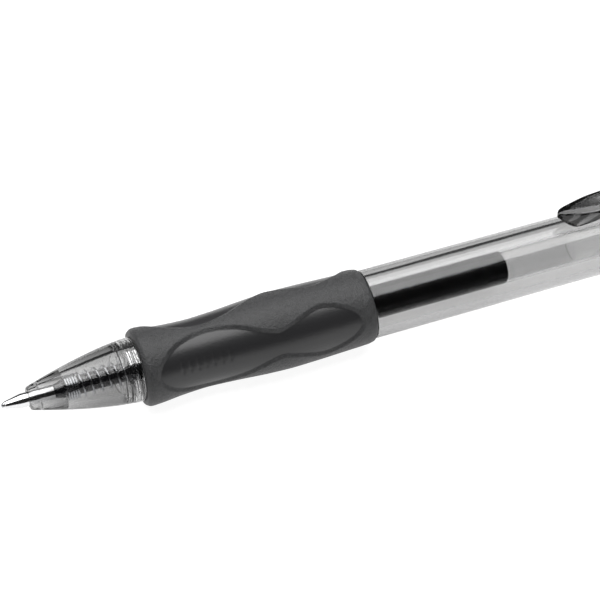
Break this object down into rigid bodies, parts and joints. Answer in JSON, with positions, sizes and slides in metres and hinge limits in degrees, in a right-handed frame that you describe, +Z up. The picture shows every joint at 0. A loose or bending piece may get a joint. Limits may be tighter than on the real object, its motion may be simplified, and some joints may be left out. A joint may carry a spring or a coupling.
{
  "type": "retractable gel pen",
  "caption": "Retractable gel pen with a clear barrel, a contoured rubber grip, a pocket clip, a push button and a threaded nose cone over a spring-loaded refill.",
  "frame": {"origin": "under the middle of the pen's length, below its axis, at the height of the lowest point of the grip", "axes": "X along the pen, point towards -X and button towards +X; Z up, through the clip"},
  "size_m": [0.144, 0.0128, 0.0159],
  "materials": {
    "carbide": "polished",
    "point_metal": "polished",
    "spring_steel": "drawn wire",
    "clear_grey": "clear, faintly grey, polished",
    "smoke_grey": "clear smoke grey, polished",
    "tube_plastic": "clear",
    "follower": "clear grease",
    "ink": "wet black",
    "black_plastic": "satin gloss",
    "cam_plastic": "satin",
    "grip_rubber": "fine matt grain, smoother in the finger recesses"
  },
  "bodies": {
    "barrel": {"barrel": "clear_grey", "grip_sleeve": "grip_rubber", "cam_guide": "cam_plastic", "clip_collar": "smoke_grey"},
    "spring": {"spring": "spring_steel"},
    "nose": {"nose_cone": "clear_grey"},
    "refill": {"point": "point_metal", "point_holder": "black_plastic", "refill_tube": "tube_plastic", "ink": "ink", "ink_follower": "follower", "refill_plug": "cam_plastic"},
    "ball": {"ball": "carbide"},
    "rotor": {"cam_rotor": "cam_plastic"},
    "button": {"plunger": "cam_plastic", "push_button": "black_plastic"},
    "clip": {"clip_arm": "smoke_grey"}
  },
  "joints": [
    {"name": "button_press", "type": "slide", "parent": "barrel", "child": "button", "axis": [-1, 0, 0], "range_m": [-0.006, 0.001]},
    {"name": "refill_slide", "type": "slide", "parent": "barrel", "child": "refill", "axis": [-1, 0, 0], "range_m": [-0.006, 0.001], "deforming": ["spring"]},
    {"name": "cam_turn", "type": "hinge", "parent": "refill", "child": "rotor", "pos_m": [0.043, 0, 0.0062], "axis": [1, 0, 0], "range_deg": [-7.6, 45.1]},
    {"name": "ball_roll", "type": "hinge", "parent": "refill", "child": "ball", "pos_m": [-0.07162, 0, 0.0062], "axis": [0, 1, 0], "continuous": true},
    {"name": "nose_advance", "type": "slide", "parent": "barrel", "child": "spring", "axis": [-1, 0, 0], "range_m": [0, 0.0045]},
    {"name": "nose_turn", "type": "hinge", "parent": "spring", "child": "nose", "pos_m": [-0.0535, 0, 0.0062], "axis": [-1, 0, 0], "range_deg": [0, 1801]},
    {"name": "clip_flex", "type": "hinge", "parent": "barrel", "child": "clip", "pos_m": [0.05133, 0, 0.01505], "axis": [0, 1, 0], "range_deg": [0, 6], "stiffness_Nm_per_rad": 0.2}
  ],
  "couplings": [
    {"joint": "refill_slide", "follows": "button_press", "ratio": 1},
    {"joint": "cam_turn", "follows": "button_press", "rad_per_m": -130.9},
    {"joint": "nose_turn", "follows": "nose_advance", "rad_per_m": 6981.3}
  ]
}
